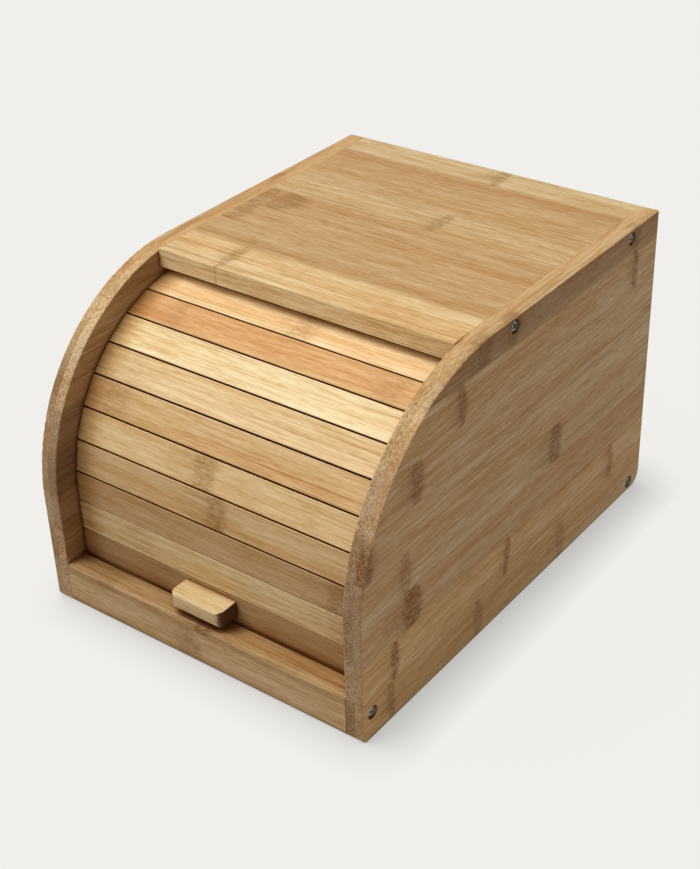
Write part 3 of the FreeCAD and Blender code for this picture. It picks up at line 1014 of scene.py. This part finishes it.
def screw_profile(settings, head_radius):
    """Distance along the screw from its seat, and radius, of each ring of the head."""
    top = settings.head_height
    rim = top * RIM_HEIGHT
    rings = [
        (0, settings.root_radius),
        (0, head_radius * SEAT_RADIUS),
        (RIM_BEVEL, head_radius),
        (rim, head_radius),
    ]
    for step in range(1, DOME_RINGS + 1):
        angle = math.pi / 2 * step / DOME_STEPS
        radius = head_radius * (DOME_RADIUS + (1 - DOME_RADIUS) * math.cos(angle))
        rings.append((rim + (top - rim) * math.sin(angle), radius))
    rings.append((top, head_radius * CROWN_RADIUS))
    return rings


def loft(mesh, rings):
    """Joins rings of new vertices with quads and returns the rings."""
    made = [[mesh.verts.new(point) for point in ring] for ring in rings]
    for low, high in zip(made, made[1:]):
        for number in range(len(low)):
            after = (number + 1) % len(low)
            mesh.faces.new((low[number], low[after], high[after], high[number]))
    return made


def circle(x, radius, segments):
    return [
        Vector((x, radius * math.cos(turn), radius * math.sin(turn)))
        for turn in (2 * math.pi * number / segments for number in range(segments))
    ]


def screw_head(settings, head_radius):
    """The domed head with its cross recess, seated at the origin and facing +X."""
    mesh = bmesh.new()
    profile = screw_profile(settings, head_radius)
    rings = loft(mesh, [circle(x, radius, HEAD_SEGMENTS) for x, radius in profile])
    mesh.faces.new(reversed(rings[0]))
    mesh.faces.new(rings[-1])
    bmesh.ops.recalc_face_normals(mesh, faces=mesh.faces)
    head = mesh_object("screw_head_blank", mesh)
    for turn in (0, math.pi / 2):
        cutter = mesh_object("drive_wing", drive_wing(settings, turn))
        cut = head.modifiers.new("drive recess", "BOOLEAN")
        cut.operation = "DIFFERENCE"
        cut.solver = "EXACT"
        cut.object = cutter
        apply_modifiers(head)
        discard(cutter)
    return head


def drive_wing(settings, turn):
    """One of the two crossed wedges of the recess: wide at the mouth, narrow on the floor."""
    mouth = settings.head_height + DRIVE_OVERSHOOT
    floor = settings.head_height - DRIVE_DEPTH
    rings = []
    for x, length, width in (
        (floor, DRIVE_FLOOR, DRIVE_WIDTH * DRIVE_TAPER),
        (mouth, DRIVE_MOUTH, DRIVE_WIDTH),
    ):
        corners = [(length, width / 2), (-length, width / 2), (-length, -width / 2), (length, -width / 2)]
        rings.append([Matrix.Rotation(turn, 3, "X") @ Vector((x, y, z)) for y, z in corners])
    mesh = bmesh.new()
    made = loft(mesh, rings)
    mesh.faces.new(reversed(made[0]))
    mesh.faces.new(made[1])
    bmesh.ops.recalc_face_normals(mesh, faces=mesh.faces)
    return mesh


def screw_shank(settings):
    """The threaded shank, running from the seat at the origin to -X and ending in a point."""
    step = settings.pitch / RINGS_PER_TURN
    rings = []
    for number in range(int(settings.shank_length / step)):
        depth = number * step
        taper = min(1.0, (settings.shank_length - depth) / POINT_LENGTH)
        rise = min(max((depth - BARE_LENGTH) / settings.pitch, 0.0), 1.0)
        ring = []
        for spoke in range(THREAD_SEGMENTS):
            turn = 2 * math.pi * spoke / THREAD_SEGMENTS
            phase = (depth / settings.pitch - spoke / THREAD_SEGMENTS) % 1
            crest = max(0.0, 1 - abs(phase - 0.5) / RIDGE)
            radius = settings.root_radius + (settings.crest_radius - settings.root_radius) * crest * rise
            ring.append(Vector((-depth, radius * taper * math.cos(turn), radius * taper * math.sin(turn))))
        rings.append(ring)
    mesh = bmesh.new()
    made = loft(mesh, rings)
    point = mesh.verts.new((-settings.shank_length, 0, 0))
    for number, corner in enumerate(made[-1]):
        mesh.faces.new((corner, made[-1][(number + 1) % THREAD_SEGMENTS], point))
    mesh.faces.new(made[0])
    bmesh.ops.recalc_face_normals(mesh, faces=mesh.faces)
    return mesh


def mesh_object(name, mesh):
    """A new object from a bmesh, which is freed."""
    data = bpy.data.meshes.new(name)
    mesh.to_mesh(data)
    mesh.free()
    made = bpy.data.objects.new(name, data)
    bpy.context.scene.collection.objects.link(made)
    return made


def discard(made):
    """Removes an object and its mesh."""
    data = made.data
    bpy.data.objects.remove(made)
    bpy.data.meshes.remove(data)


def apply_modifiers(made):
    """Replaces an object's mesh with the one its modifiers give."""
    graph = bpy.context.evaluated_depsgraph_get()
    result = bpy.data.meshes.new_from_object(made.evaluated_get(graph))
    made.modifiers.clear()
    old = made.data
    made.data = result
    bpy.data.meshes.remove(old)


def screw_places(node):
    """The heads' radius, each screw's side and centre, and how far out the heads reach, from the CAD node."""
    low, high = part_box(node)
    radius = (high.z - low.z) / 2
    middles = {round(low.y + radius, 7), round(high.y - radius, 7)}
    return radius, [(side, y, (low.z + high.z) / 2) for side in (-1, 1) for y in sorted(middles)], high.x


def single_screw(settings, head_radius):
    """The mesh of one screw, its head and its shank, seated at the origin and facing +X."""
    screw = bmesh.new()
    blanks = (
        screw_head(settings, head_radius),
        mesh_object("screw_shank_blank", screw_shank(settings)),
    )
    for blank in blanks:
        screw.from_mesh(blank.data)
        discard(blank)
    single = bpy.data.meshes.new("screw_blank")
    screw.to_mesh(single)
    screw.free()
    return single


def make_screws(node, piece, turn):
    """Builds the screws of one CAD node as one piece that stands for it, each turned its own way."""
    settings = bpy.context.scene.bread_box_screws
    radius, places, outer = screw_places(node)
    single = single_screw(settings, radius)
    whole = bmesh.new()
    for number, (side, y, z) in enumerate(places):
        start = len(whole.verts)
        whole.from_mesh(single)
        whole.verts.ensure_lookup_table()
        facing = Euler((turn + number * TURN_STEP, 0, 0)).to_matrix()
        if side < 0:
            facing = Matrix.Rotation(math.pi, 3, "Z") @ facing
        seat = Vector((side * (outer - settings.head_height), y, z))
        for vertex in whole.verts[start:]:
            vertex.co = facing @ vertex.co + seat
    bpy.data.meshes.remove(single)
    made = mesh_object(piece, whole)
    for polygon in made.data.polygons:
        polygon.use_smooth = True
    made.data.set_sharp_from_angle(angle=SHARP_ANGLE)
    made.data.materials.append(zinc_material(settings))
    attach(made, "case")
    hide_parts(node)


# --- Operators ------------------------------------------------------------------------------------
# How far the joint after the first strip lies above the floor, and behind the front edge of the top.
SIDE_FIRST_JOINT = 27.3 * MM
TOP_FIRST_JOINT = 31 * MM
# How much of a whole strip's width the first strip of a hidden panel keeps.
HIDDEN_FIRST_STRIP = 0.8


class BREADBOX_OT_side_panels(bpy.types.Operator):
    """Dress the two side panels in two plies of strips"""

    bl_idname = "bread_box.side_panels"
    bl_label = "Side Panels"

    def execute(self, context):
        low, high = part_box("side_panel_right")
        ply_face = BOX_HIGH.x - (high.x - low.x) + context.scene.bread_box_bamboo.ply
        axes = (Y_AXIS, Z_AXIS, X_AXIS)
        sides = (
            ("side_panel_right", RIGHT_OUTER_PLY, RIGHT_INNER_PLY, RIGHT_RIM, -X_AXIS),
            ("side_panel_left", LEFT_OUTER_PLY, LEFT_INNER_PLY, None, X_AXIS),
        )
        for node, outer, inner, rim, inward in sides:
            finish = panel_material(
                node + " bamboo", axes, outer, SEEDS[node], SIDE_FIRST_JOINT,
                softness=SIDE_JOINT, contrast=SIDE_CONTRAST, rim=rim, inner=(inner, ply_face, inward),
            )
            dress(node, finish)
        return {"FINISHED"}


class BREADBOX_OT_top_panel(bpy.types.Operator):
    """Dress the top panel in strips that run from side to side"""

    bl_idname = "bread_box.top_panel"
    bl_label = "Top Panel"

    def execute(self, context):
        first_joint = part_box("top_panel")[0].y + TOP_FIRST_JOINT
        axes = (X_AXIS, Y_AXIS, Z_AXIS)
        finish = panel_material(
            "top bamboo", axes, TOP_STRIPS, SEEDS["top_panel"], first_joint,
            softness=TOP_JOINT, end_light=TOP_END_PAINTED_LIGHT,
        )
        dress("top_panel", finish)
        return {"FINISHED"}


class BREADBOX_OT_hidden_panels(bpy.types.Operator):
    """Dress the bottom and the back panel, which are seen from below, behind and inside"""

    bl_idname = "bread_box.hidden_panels"
    bl_label = "Bottom and Back"

    def execute(self, context):
        first_strip = context.scene.bread_box_bamboo.strip_width * HIDDEN_FIRST_STRIP
        for node, across, through in (("bottom_panel", Y_AXIS, Z_AXIS), ("back_panel", Z_AXIS, Y_AXIS)):
            seed = SEEDS[node]
            first_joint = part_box(node)[0].dot(across) + first_strip
            axes = (X_AXIS, across, through)
            dress(node, panel_material(node + " bamboo", axes, hidden_strips(seed), seed, first_joint))
        return {"FINISHED"}


class BREADBOX_OT_front_rail(bpy.types.Operator):
    """Dress the front rail, a browner strip with a warm one on top"""

    bl_idname = "bread_box.front_rail"
    bl_label = "Front Rail"

    def execute(self, context):
        first_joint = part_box("front_rail")[1].z - context.scene.bread_box_bamboo.rail_ply
        axes = (X_AXIS, Z_AXIS, Y_AXIS)
        strips = (RAIL_LOWER_STRIP, RAIL_UPPER_STRIP)
        # The rail's longer reach paints the shade under the pull.
        finish = panel_material(
            "rail bamboo", axes, strips, SEEDS["front_rail"], first_joint, reach=RAIL_CORNER_REACH
        )
        dress("front_rail", finish)
        return {"FINISHED"}


class BREADBOX_OT_slats(bpy.types.Operator):
    """Dress the ten slats of the curtain, each from its own strip"""

    bl_idname = "bread_box.slats"
    bl_label = "Slats"

    def execute(self, context):
        hinge = Vector(HINGE["pos_m"])
        for number, strip in enumerate(SLATS, 1):
            node = "slat_%02d" % number
            low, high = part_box(node)
            middle = (low + high) / 2
            face = outward_face(frame["nodes"][node], middle - hinge)
            across = face.cross(X_AXIS)
            axes = (X_AXIS, across, face)
            finish = plank_material(
                node + " bamboo", strip, number * SLAT_SEED_STEP, middle, axes, across, SAWN_EDGE_SHADE, shaded_left_end=True
            )
            dress(node, finish)
        return {"FINISHED"}


def outward_face(node, outward):
    """The direction that a slat's face looks, from the largest flat on its outer side."""
    flats = [flat for flat in node.data.polygons if flat.normal.dot(outward) > 0]
    return max(flats, key=lambda flat: flat.area).normal.copy()


class BREADBOX_OT_canvas(bpy.types.Operator):
    """Dress the canvas that joins the slats"""

    bl_idname = "bread_box.canvas"
    bl_label = "Canvas"

    def execute(self, context):
        dress("canvas_backing", canvas_material(context.scene.bread_box_cloth))
        return {"FINISHED"}


class BREADBOX_OT_pull(bpy.types.Operator):
    """Dress the pull on the lead slat"""

    bl_idname = "bread_box.pull"
    bl_label = "Pull"

    def execute(self, context):
        low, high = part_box("pull")
        middle = (low + high) / 2
        axes = (X_AXIS, Y_AXIS, Z_AXIS)
        finish = plank_material(
            "pull bamboo", PULL_STRIP, SEEDS["pull"], middle, axes, Z_AXIS, PULL_FRONT_SHADE, PULL_END_SHADE
        )
        dress("pull", finish)
        return {"FINISHED"}


class BREADBOX_OT_screws(bpy.types.Operator):
    """Fit the wood screws through the side panels"""

    bl_idname = "bread_box.screws"
    bl_label = "Screws"

    def execute(self, context):
        for node, piece, turn in SCREW_SETS:
            make_screws(node, piece, turn)
        return {"FINISHED"}


class BREADBOX_OT_studio(bpy.types.Operator):
    """Lay the floor, hang the lights and set up the camera"""

    bl_idname = "bread_box.studio"
    bl_label = "Studio"

    def execute(self, context):
        settings = context.scene.bread_box_studio
        lay_floor(settings)
        light_room(context.scene, settings)
        hang_key(settings)
        place_camera(context.scene, settings)
        context.scene.view_settings.view_transform = "Standard"
        return {"FINISHED"}


# --- Studio ---------------------------------------------------------------------------------------
FRAME_HEIGHT_IN_MM = 36
CLIP_START = 0.01
CLIP_END = 100


def seen_directly(graph):
    """1 for rays from the camera, or by way of a mirror or glass, and 0 for the light that fills the room."""
    path = graph.node("LightPath").outputs
    seen = graph.math("MAXIMUM", path["Is Camera Ray"], path["Is Glossy Ray"])
    return graph.math("MAXIMUM", seen, path["Is Transmission Ray"])


def lay_floor(settings):
    """A pale floor that shows the backdrop's colour, a painted contact shadow round the box and a little of
    its real shadow, and sends little light back.
    """
    half = settings.floor_size / 2
    mesh = bmesh.new()
    corners = ((-half, -half), (half, -half), (half, half), (-half, half))
    mesh.faces.new([mesh.verts.new((x, y, BOX_LOW.z)) for x, y in corners])
    floor = mesh_object("studio_floor", mesh)
    material = bpy.data.materials.new("studio floor")
    material.use_nodes = True
    material.node_tree.nodes.clear()
    graph = Graph(material.node_tree)
    shown = tuple(settings.backdrop)
    lit = graph.node("BsdfDiffuse", {"Color": shown}).outputs[0]
    # Painted contact shadow: the floor's own light dims where the box closes in its sky within the reach.
    sockets = {"Distance": settings.contact_reach, "Normal": graph.join(*settings.contact_lean)}
    clear = graph.node("AmbientOcclusion", sockets).outputs["AO"]
    level = graph.choose(clear, 1.0 - 2 * settings.contact_shadow, 1.0)
    even = graph.node("Emission", {"Color": shown, "Strength": level}).outputs[0]
    pale = graph.node("MixShader", {0: settings.shadow_share, 1: even, 2: lit}).outputs[0]
    bounce = graph.node("BsdfDiffuse", {"Color": (settings.floor_bounce,) * 3}).outputs[0]
    surface = graph.node("MixShader", {0: seen_directly(graph), 1: bounce, 2: pale}).outputs[0]
    graph.node("OutputMaterial", {"Surface": surface})
    floor.data.materials.append(material)


def light_room(scene, settings):
    """An even room, brighter overhead than at the sides, in front of a backdrop of the floor's colour."""
    world = bpy.data.worlds.new("studio room")
    scene.world = world
    world.use_nodes = True
    world.node_tree.nodes.clear()
    graph = Graph(world.node_tree)
    height = graph.split(graph.node("TexCoord").outputs["Generated"])[2]
    strength = graph.choose(height, settings.sky_low, settings.sky_high)
    room = graph.node("Background", {"Color": (1.0, 1.0, 1.0), "Strength": strength}).outputs[0]
    shown = graph.node("Background", {"Color": tuple(settings.backdrop), "Strength": 1.0}).outputs[0]
    surface = graph.node("MixShader", {0: seen_directly(graph), 1: room, 2: shown}).outputs[0]
    graph.node("OutputWorld", {"Surface": surface})


def hang_key(settings):
    """The broad key light, above the box and a little to the left of its front."""
    light = bpy.data.lights.new("key", "SUN")
    light.energy = settings.key_strength
    light.angle = settings.key_spread
    key = bpy.data.objects.new("key", light)
    key.rotation_euler = Vector(settings.key_from).to_track_quat("Z", "Y").to_euler()
    bpy.context.scene.collection.objects.link(key)


def place_camera(scene, settings):
    """The camera, above the box's right front corner."""
    lens = bpy.data.cameras.new("camera")
    lens.lens = settings.lens
    lens.sensor_fit = "VERTICAL"
    lens.sensor_height = FRAME_HEIGHT_IN_MM
    lens.clip_start = CLIP_START
    lens.clip_end = CLIP_END
    camera = bpy.data.objects.new("camera", lens)
    place = Vector(settings.camera_place)
    look = (Vector(settings.camera_aim) - place).to_track_quat("-Z", "Y").to_matrix()
    facing = look @ Matrix.Rotation(settings.camera_roll, 3, "Z")
    camera.matrix_world = Matrix.Translation(place) @ facing.to_4x4()
    scene.collection.objects.link(camera)
    scene.camera = camera


# --- Panel and registration -----------------------------------------------------------------------
OPERATORS = (
    BREADBOX_OT_side_panels,
    BREADBOX_OT_top_panel,
    BREADBOX_OT_hidden_panels,
    BREADBOX_OT_front_rail,
    BREADBOX_OT_slats,
    BREADBOX_OT_canvas,
    BREADBOX_OT_pull,
    BREADBOX_OT_screws,
    BREADBOX_OT_studio,
)
SETTINGS = (
    ("bread_box_bamboo", BambooSettings),
    ("bread_box_cloth", ClothSettings),
    ("bread_box_screws", ScrewSettings),
    ("bread_box_studio", StudioSettings),
)


class VIEW3D_PT_bread_box(bpy.types.Panel):
    """Lists the settings and the operators, in the order in which they are run"""

    bl_label = "Bread Box"
    bl_idname = "VIEW3D_PT_bread_box"
    bl_space_type = "VIEW_3D"
    bl_region_type = "UI"
    bl_category = "Bread Box"

    def draw(self, context):
        for key, group in SETTINGS:
            box = self.layout.box()
            settings = getattr(context.scene, key)
            for name in group.__annotations__:
                box.prop(settings, name)
        for operator in OPERATORS:
            self.layout.operator(operator.bl_idname)


def register():
    for key, group in SETTINGS:
        bpy.utils.register_class(group)
        setattr(bpy.types.Scene, key, PointerProperty(type=group))
    for part in (*OPERATORS, VIEW3D_PT_bread_box):
        bpy.utils.register_class(part)


def unregister():
    for part in (VIEW3D_PT_bread_box, *reversed(OPERATORS)):
        bpy.utils.unregister_class(part)
    for key, group in reversed(SETTINGS):
        delattr(bpy.types.Scene, key)
        bpy.utils.unregister_class(group)


def main():
    """Runs the operators in order."""
    register()
    for operator in OPERATORS:
        getattr(bpy.ops.bread_box, operator.bl_idname.split(".")[1])()


if __name__ == "__main__":
    main()
